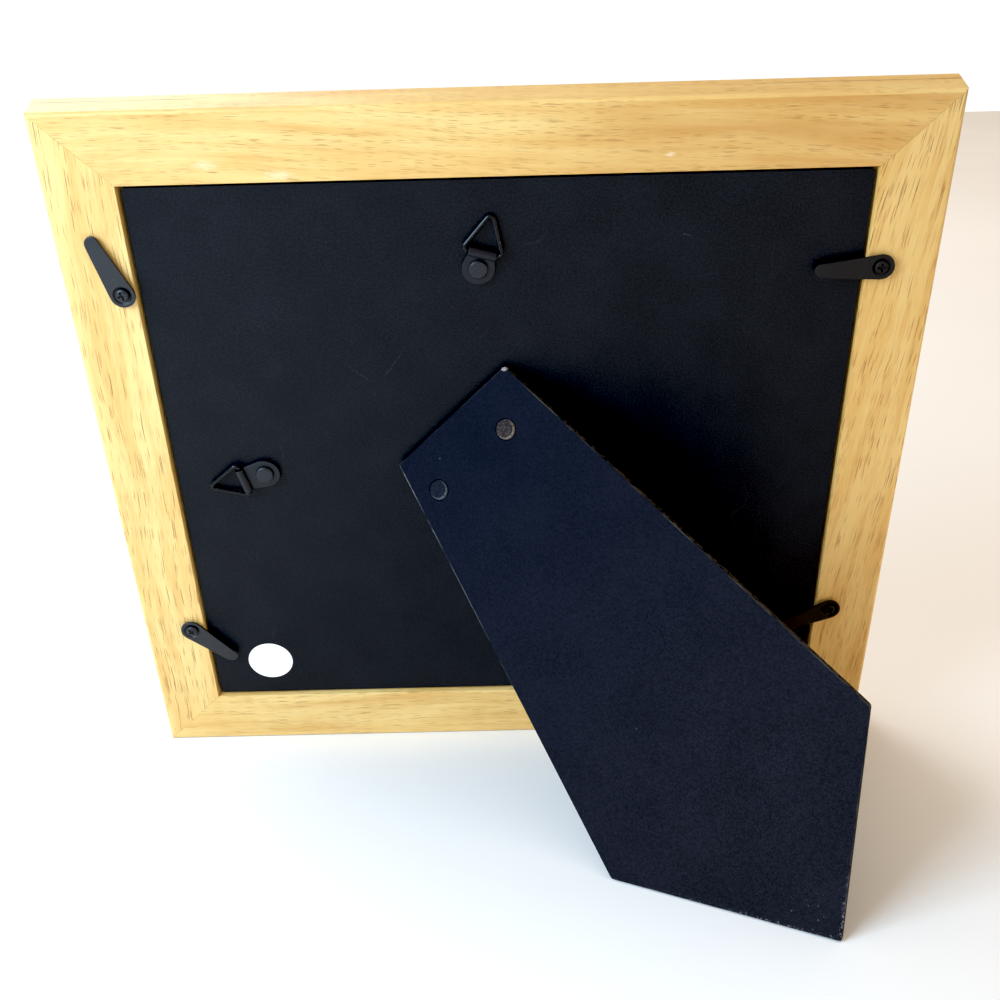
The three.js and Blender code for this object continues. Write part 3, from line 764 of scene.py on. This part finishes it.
printLook = [  # sky from high to low, and layers from far to near: colour, height, relief and pitch
    {"sky": ("7fb0d8", "dfe9ee"), "cloud": 0.7, "seed": 3.0,
     "layers": [("8aa2b5", 6, 16, 0.03), ("5f7f76", -6, 14, 0.05), ("4c6f3f", -18, 12, 0.04),
                ("7d9a4c", -30, 8, 0.03)]},
    {"sky": ("f0b77a", "f7e3c0"), "cloud": 0.5, "seed": 11.0,
     "layers": [("b98a7a", 2, 10, 0.03), ("8a6b74", -8, 12, 0.05), ("4f4a60", -22, 14, 0.04)]},
    {"sky": ("6fa6d2", "cfe3ee"), "cloud": 0.8, "seed": 19.0,
     "layers": [("3f7f9c", -4, 0, 0.02), ("5b9bb0", -16, 2, 0.03), ("e3d4ae", -28, 6, 0.03)]},
    {"sky": ("a9c4d6", "eef2f2"), "cloud": 0.6, "seed": 27.0,
     "layers": [("c3ced6", 16, 30, 0.06), ("8b9aa6", 4, 24, 0.05), ("44604e", -14, 10, 0.09),
                ("34502f", -26, 8, 0.12)]},
    {"sky": ("8dbbe0", "e8eef0"), "cloud": 0.9, "seed": 35.0,
     "layers": [("9fb58c", -2, 8, 0.03), ("c9b24a", -12, 6, 0.03), ("a98f2f", -24, 6, 0.05)]},
    {"sky": ("c9d6df", "f4ece0"), "cloud": 0.4, "seed": 43.0,
     "layers": [("a9b4ae", 10, 12, 0.05), ("5d7466", 0, 16, 0.1), ("7f9aa4", -10, 0, 0.02),
                ("4a5a3c", -34, 10, 0.06)]},
]
printFinish = {
    "cloud": shade("fbfbf8"),
    "shadow": shade("1e2a1c"),
    "noise": {
        "puff": {"Detail": 5.0, "Roughness": 0.6},
        "grain": {"Scale": 0.4, "Detail": 4.0, "Roughness": 0.7},
        "ridge": {"Detail": 4.0},
    },
    "range": {"sky": (40.0, -15.0), "puff": (0.5, 0.72), "grain": (0.3, 0.7), "ridge": (0.25, -0.25)},
    "amount": {"shadow": 0.35, "grainRough": 0.1},
    "puffStretch": (0.025, 0.06),
    "seedStep": 5.0,
    "roughness": 0.32,
    "coat": 0.2,
}


def printMaterial(number, look):
    name = f"photo_print_{number}"
    paint = newPaint(name, printFinish)
    amount = printFinish["amount"]
    place = placeOf(-acrossBack, upBack, -outOfBack, middleOf(name))
    across, up = paint.parts(paint.local(place))[:2]
    puffAcross, puffUp = printFinish["puffStretch"]
    puff = paint.noise("puff", paint.vector(across * puffAcross, up * puffUp, look["seed"]))
    grain = paint.noise("grain", paint.vector(across, up, look["seed"]))
    shadow = paint.full("grain", grain) * amount["shadow"]
    high, low = (shade(code) for code in look["sky"])
    colour = paint.mix(paint.full("sky", up), high, low)
    colour = paint.mix(paint.full("puff", puff) * look["cloud"], colour, printFinish["cloud"])
    for step, (code, height, relief, pitch) in enumerate(look["layers"]):
        seed = look["seed"] + step * printFinish["seedStep"]
        ridge = paint.noise("ridge", paint.vector(across * pitch, seed, 0.0))
        line = paint.swing(ridge, 2.0 * relief) + height
        tint = paint.mix(shadow, shade(code), printFinish["shadow"])
        colour = paint.mix(paint.full("ridge", up - line), colour, tint)
    return paint.finish(paint.principled({
        "Base Color": colour,
        "Roughness": printFinish["roughness"] + paint.swing(grain, amount["grainRough"]),
        "Coat Weight": printFinish["coat"],
    }))


glassLook = {
    "clear": shade("fdfefd"),
    "noise": {"smear": {"Scale": 0.03, "Detail": 3.0}},
    "bend": 1.5,  # index of refraction
    "mirror": 1.0,
    "roughness": 0.02,
    "smearRough": 0.05,
}


def glassMaterial():
    paint = newPaint("clear_glass", glassLook)
    smear = paint.noise("smear", paint.local(backPlace))
    edge = paint.node("ShaderNodeFresnel", {}, {"IOR": glassLook["bend"]})
    clear = paint.node("ShaderNodeBsdfTransparent", {}, {"Color": glassLook["clear"]})
    polish = paint.principled({  # seen only where the glass reflects
        "Base Color": glassLook["clear"],
        "Roughness": glassLook["roughness"] + smear * glassLook["smearRough"],
        "Metallic": glassLook["mirror"],
    })
    return paint.finish(paint.node("ShaderNodeMixShader", {}, {0: edge, 1: clear, 2: polish}))


materials = {f"rail_{side}": woodMaterial(side, look) for side, look in railLook.items()}
materials |= {f"photo_print_{i + 1}": printMaterial(i + 1, look) for i, look in enumerate(printLook)}
materials |= {"backing_board": boardMaterial(), "easel_leg": legMaterial()}
materials |= {"window_mat": matMaterial(), "glass_pane": glassMaterial()}
metals = {kind: metalMaterial(kind, look) for kind, look in metalLook.items()}
materials |= {name: metals[slot] for name, slot in slots.items() if slot in metals}
materials |= {name: metals[kind] for kind, names in ownMetal.items() for name in names}
materials |= {name: rivetMaterial(name, look) for name, look in rivetLook.items()}
print("materials made:", len(materials))


# Pieces: a copy of each node, with its outward edges eased where they are sharper than the given angle.
# Where joined is true, the triangles of each flat face become one face first.
easing = {
    "rail": {"joined": True, "width": 0.18, "segments": 2, "sharp": 50, "smooth": 40},
    "easel_leg": {"joined": False, "width": 0.3, "segments": 3, "sharp": 50, "smooth": 50},
    "backing_board": {"joined": False, "width": 0.3, "segments": 2, "sharp": 50, "smooth": 40},
    "turn_button": {"joined": True, "width": 0.25, "segments": 3, "sharp": 50, "smooth": 50},
    "button_screw": {"joined": False, "width": 0.08, "segments": 2, "sharp": 50, "smooth": 40},
    "hanger_strap": {"joined": True, "width": 0.15, "segments": 3, "sharp": 50, "smooth": 50},
    "hanger_ring": {"joined": False, "width": 0.1, "segments": 2, "sharp": 32, "smooth": 60},
    "hanger_rivet": {"joined": False, "width": 0.12, "segments": 2, "sharp": 32, "smooth": 45},
    "leg_rivet": {"joined": False, "width": 0.1, "segments": 2, "sharp": 32, "smooth": 45},
    "base_rivet": {"joined": False, "width": 0.1, "segments": 2, "sharp": 32, "smooth": 45},
    "hinge_pin": {"joined": False, "width": 0.12, "segments": 2, "sharp": 50, "smooth": 40},
    "hinge": {"joined": False, "width": 0.0, "segments": 1, "sharp": 50, "smooth": 40},
    "window_mat": {"joined": False, "width": 0.08, "segments": 1, "sharp": 40, "smooth": 30},
    "photo_print": {"joined": False, "width": 0.05, "segments": 1, "sharp": 50, "smooth": 30},
    "glass_pane": {"joined": False, "width": 0.2, "segments": 2, "sharp": 50, "smooth": 30},
}
meshLook = {
    "mergeWithin": 0.002,
    "flatWithin": 0.4,
    "mitreSlack": 0.01,
    "mitreClose": 0.07,  # each mitred end is drawn this much nearer to its neighbour
    "levelWeight": 100,
}


def pick(piece):
    bpy.ops.object.select_all(action="DESELECT")
    piece.select_set(True)
    bpy.context.view_layer.objects.active = piece


def onMitre(normal):
    slack = meshLook["mitreSlack"]
    flat = abs(normal.dot(outOfBack)) < slack
    return flat and abs(abs(normal.dot(acrossBack)) - abs(normal.dot(upBack))) < slack


def closeMitres(piece):
    for end in [face.index for face in piece.data.polygons if onMitre(face.normal)]:
        push = piece.data.polygons[end].normal * (meshLook["mitreClose"] * mm)
        bpy.ops.object.mode_set(mode="EDIT")
        bpy.ops.mesh.select_mode(type="FACE")
        bpy.ops.mesh.select_all(action="DESELECT")
        bpy.ops.object.mode_set(mode="OBJECT")
        piece.data.polygons[end].select = True
        bpy.ops.object.mode_set(mode="EDIT")
        bpy.ops.transform.translate(value=push)
        bpy.ops.object.mode_set(mode="OBJECT")


def sharpEdges(mesh, angle, mitred):  # outward edges, without those of a mitre
    shape = bmesh.new()
    shape.from_mesh(mesh)
    chosen = []
    for edge in shape.edges:
        left = mitred and any(onMitre(face.normal) for face in edge.link_faces)
        if edge.is_convex and edge.calc_face_angle(0.0) > angle and not left:
            chosen.append(edge.index)
    shape.free()
    return chosen


def ease(name, look):
    source = nodes[name]
    mitred = name.startswith("rail")
    pick(source)
    bpy.ops.object.duplicate()
    piece = bpy.context.object
    piece.name = f"{name}_eased"
    piece.parent = None
    for mark in ("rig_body", "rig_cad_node"):  # the copy isn't a CAD node
        del piece[mark]
    bpy.ops.object.mode_set(mode="EDIT")
    bpy.ops.mesh.select_all(action="SELECT")
    bpy.ops.mesh.remove_doubles(threshold=meshLook["mergeWithin"] * mm)
    if look["joined"]:
        bpy.ops.mesh.dissolve_limited(angle_limit=math.radians(meshLook["flatWithin"]))
    bpy.ops.object.mode_set(mode="OBJECT")
    if mitred:
        closeMitres(piece)
    if look["width"]:
        weights = piece.data.attributes.new("bevel_weight_edge", "FLOAT", "EDGE")
        for edge in sharpEdges(piece.data, math.radians(look["sharp"]), mitred):
            weights.data[edge].value = 1.0
        bevel = piece.modifiers.new("ease", "BEVEL")
        bevel.width = look["width"] * mm
        bevel.segments = look["segments"]
        bevel.limit_method = "WEIGHT"
        bevel.use_clamp_overlap = False
        bevel.loop_slide = False
        bevel.miter_outer = "MITER_ARC"
        bpy.ops.object.modifier_apply(modifier=bevel.name)
    bpy.ops.object.shade_smooth_by_angle(angle=math.radians(look["smooth"]))
    level = piece.modifiers.new("level", "WEIGHTED_NORMAL")  # flat faces stay flat beside their eased edges
    level.weight = meshLook["levelWeight"]
    level.keep_sharp = True
    bpy.ops.object.modifier_apply(modifier=level.name)
    piece.data.materials.clear()
    piece.data.materials.append(materials[name])
    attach(piece, source["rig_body"])
    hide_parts(name)


for name in sorted(nodes):
    ease(name, next(look for start, look in easing.items() if name.startswith(start)))
print("nodes eased:", len(nodes))


# Round blank label of plain white paper on the board, seen at the lower left from behind
labelLook = {
    "diameter": 18.8,
    "across": -103.0,
    "up": -96.2,
    "thickness": 0.12,
    "inset": 0.15,
    "sides": 96,
    "smooth": 30,
    "paper": shade("fbfbfa"),
    "fibre": shade("eeeeec"),
    "noise": {"fibre": {"Scale": 1.2, "Detail": 3.0}},
    "amount": {"fibre": 0.3, "fibreRough": 0.15},
    "roughness": 0.5,
    "fibreDepth": 0.02,
}


def labelMaterial():
    paint = newPaint("label_paper", labelLook)
    amount = labelLook["amount"]
    fibre = paint.noise("fibre", paint.local(backPlace))
    return paint.finish(paint.principled({
        "Base Color": paint.mix(fibre * amount["fibre"], labelLook["paper"], labelLook["fibre"]),
        "Roughness": labelLook["roughness"] + fibre * amount["fibreRough"],
        "Normal": paint.bump(fibre, labelLook["fibreDepth"]),
    }))


def label():  # made in its own millimetres, then set on the board
    boardFace = reachOf(pointsOf("backing_board"), outOfBack)[1]
    bpy.ops.object.select_all(action="DESELECT")
    bpy.ops.mesh.primitive_circle_add(vertices=labelLook["sides"], radius=labelLook["diameter"] / 2,
                                      fill_type="NGON")
    piece = bpy.context.object
    piece.name = "round_label"
    bpy.ops.object.mode_set(mode="EDIT")
    bpy.ops.mesh.select_all(action="SELECT")
    bpy.ops.mesh.extrude_region_move(TRANSFORM_OT_translate={"value": (0, 0, labelLook["thickness"])})
    bpy.ops.mesh.inset(thickness=labelLook["inset"])
    bpy.ops.mesh.select_all(action="SELECT")
    bpy.ops.mesh.normals_make_consistent(inside=False)
    bpy.ops.object.mode_set(mode="OBJECT")
    piece.matrix_world = backPlace @ Matrix.Translation((labelLook["across"], labelLook["up"], boardFace))
    bpy.ops.object.transform_apply(location=True, rotation=True, scale=True)
    bpy.ops.object.shade_smooth_by_angle(angle=math.radians(labelLook["smooth"]))
    piece.data.materials.append(labelMaterial())
    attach(piece, "frame")


label()
print("label made")


# Floor, light and camera
floorLook = {
    "size": 8.0,
    "colour": shade("f0efed"),
    "shadow": shade("ebe9e6"),
    "noise": {"cloud": {"Scale": 1.2, "Detail": 3.0}},
    "range": {"cloud": (0.35, 0.7)},
    "roughness": 0.65,
}
lampLook = {
    "window": {"kind": "AREA", "at": (0.52, 0.42, 0.46), "aim": (0.0, 0.0, 0.12), "power": 10.0,
               "colour": (0.55, 0.77, 1.0), "size": 0.45, "spread": 180.0},
    "table": {"kind": "AREA", "at": (0.9, -1.5, 1.2), "aim": (0.5, -0.9, 0.0), "power": 14.0,
              "colour": (0.9, 0.95, 1.0), "size": 1.0, "spread": 180.0},
    "side": {"kind": "AREA", "at": (-0.6, 0.32, 0.05), "aim": (-0.13, -0.02, 0.055), "power": 0.085,
             "colour": (1.0, 0.84, 0.6), "size": 0.25, "spread": 30.0},
    "far": {"kind": "AREA", "at": (1.4, -3.4, 1.6), "aim": (1.2, -3.0, 0.0), "power": 30.0,
            "colour": (0.95, 0.97, 1.0), "size": 1.5, "spread": 180.0},
    "ceiling": {"kind": "SUN", "at": (0.35, -0.3, 2.0), "aim": (0.0, 0.0, 0.0), "power": 0.9,
                "colour": (1.0, 0.88, 0.74), "angle": 60.0},
}
skyLook = {
    "behind": (0.5, 0.43, 0.36, 1.0),
    "before": (0.66, 0.56, 0.46, 1.0),
    "low": (1.05, 1.04, 1.02, 1.0),
    "range": {"before": (-0.35, 0.25), "low": (0.16, 0.04)},
}
cameraLook = {
    "eye": (-0.002167, 0.419151, 0.292760),
    "ahead": (0.00897226, -0.93539385, -0.35349377),
    "roll": -1.59,
    "lens": 44.446,
    "sensor": 36.0,
    "clip": (0.01, 100.0),
}
viewLook = {"transform": "Standard", "blackPoint": 0.012}


def floor():
    bpy.ops.object.select_all(action="DESELECT")
    bpy.ops.mesh.primitive_plane_add(size=floorLook["size"])
    ground = bpy.context.object
    ground.name = "floor"
    paint = newPaint("floor", floorLook)
    cloud = paint.full("cloud", paint.noise("cloud", paint.position()))
    ground.data.materials.append(paint.finish(paint.principled({
        "Base Color": paint.mix(cloud, floorLook["colour"], floorLook["shadow"]),
        "Roughness": floorLook["roughness"],
    })))


def lamp(name, look):
    data = bpy.data.lights.new(name, look["kind"])
    data.energy = look["power"]
    data.color = look["colour"]
    if look["kind"] == "AREA":
        data.size = look["size"]
        data.spread = math.radians(look["spread"])
    else:
        data.angle = math.radians(look["angle"])
    made = bpy.data.objects.new(name, data)
    bpy.context.scene.collection.objects.link(made)
    made.location = look["at"]
    towards = Vector(look["aim"]) - Vector(look["at"])
    made.rotation_euler = towards.to_track_quat("-Z", "Y").to_euler()


def sky():  # brightest low down, and a little dimmer past the frame than on the camera's side
    paint = Paint(bpy.data.worlds.new("studio"), skyLook)
    direction = paint.node("ShaderNodeTexCoord", {}, {}, "Generated")
    side, height = paint.parts(direction)[1:]
    colour = paint.mix(paint.full("before", side), skyLook["behind"], skyLook["before"])
    colour = paint.mix(paint.full("low", height), colour, skyLook["low"])
    background = paint.node("ShaderNodeBackground", {}, {"Color": colour})
    bpy.context.scene.world = paint.finish(background, "ShaderNodeOutputWorld")


def camera():
    data = bpy.data.cameras.new("camera")
    data.sensor_width = cameraLook["sensor"]
    data.lens = cameraLook["lens"]
    data.clip_start, data.clip_end = cameraLook["clip"]
    made = bpy.data.objects.new("camera", data)
    bpy.context.scene.collection.objects.link(made)
    made.location = cameraLook["eye"]
    turn = Vector(cameraLook["ahead"]).to_track_quat("-Z", "Y")
    roll = Quaternion((0, 0, 1), math.radians(cameraLook["roll"]))
    made.rotation_euler = (turn @ roll).to_euler()
    bpy.context.scene.camera = made


def blackPoint():  # the darkest tones go to black, as in the photograph
    view = bpy.context.scene.view_settings
    view.view_transform = viewLook["transform"]
    view.use_curve_mapping = True
    view.curve_mapping.black_level = (viewLook["blackPoint"],) * 3
    view.curve_mapping.update()


floor()
for name, look in lampLook.items():
    lamp(name, look)
sky()
camera()
blackPoint()
print("stage set")
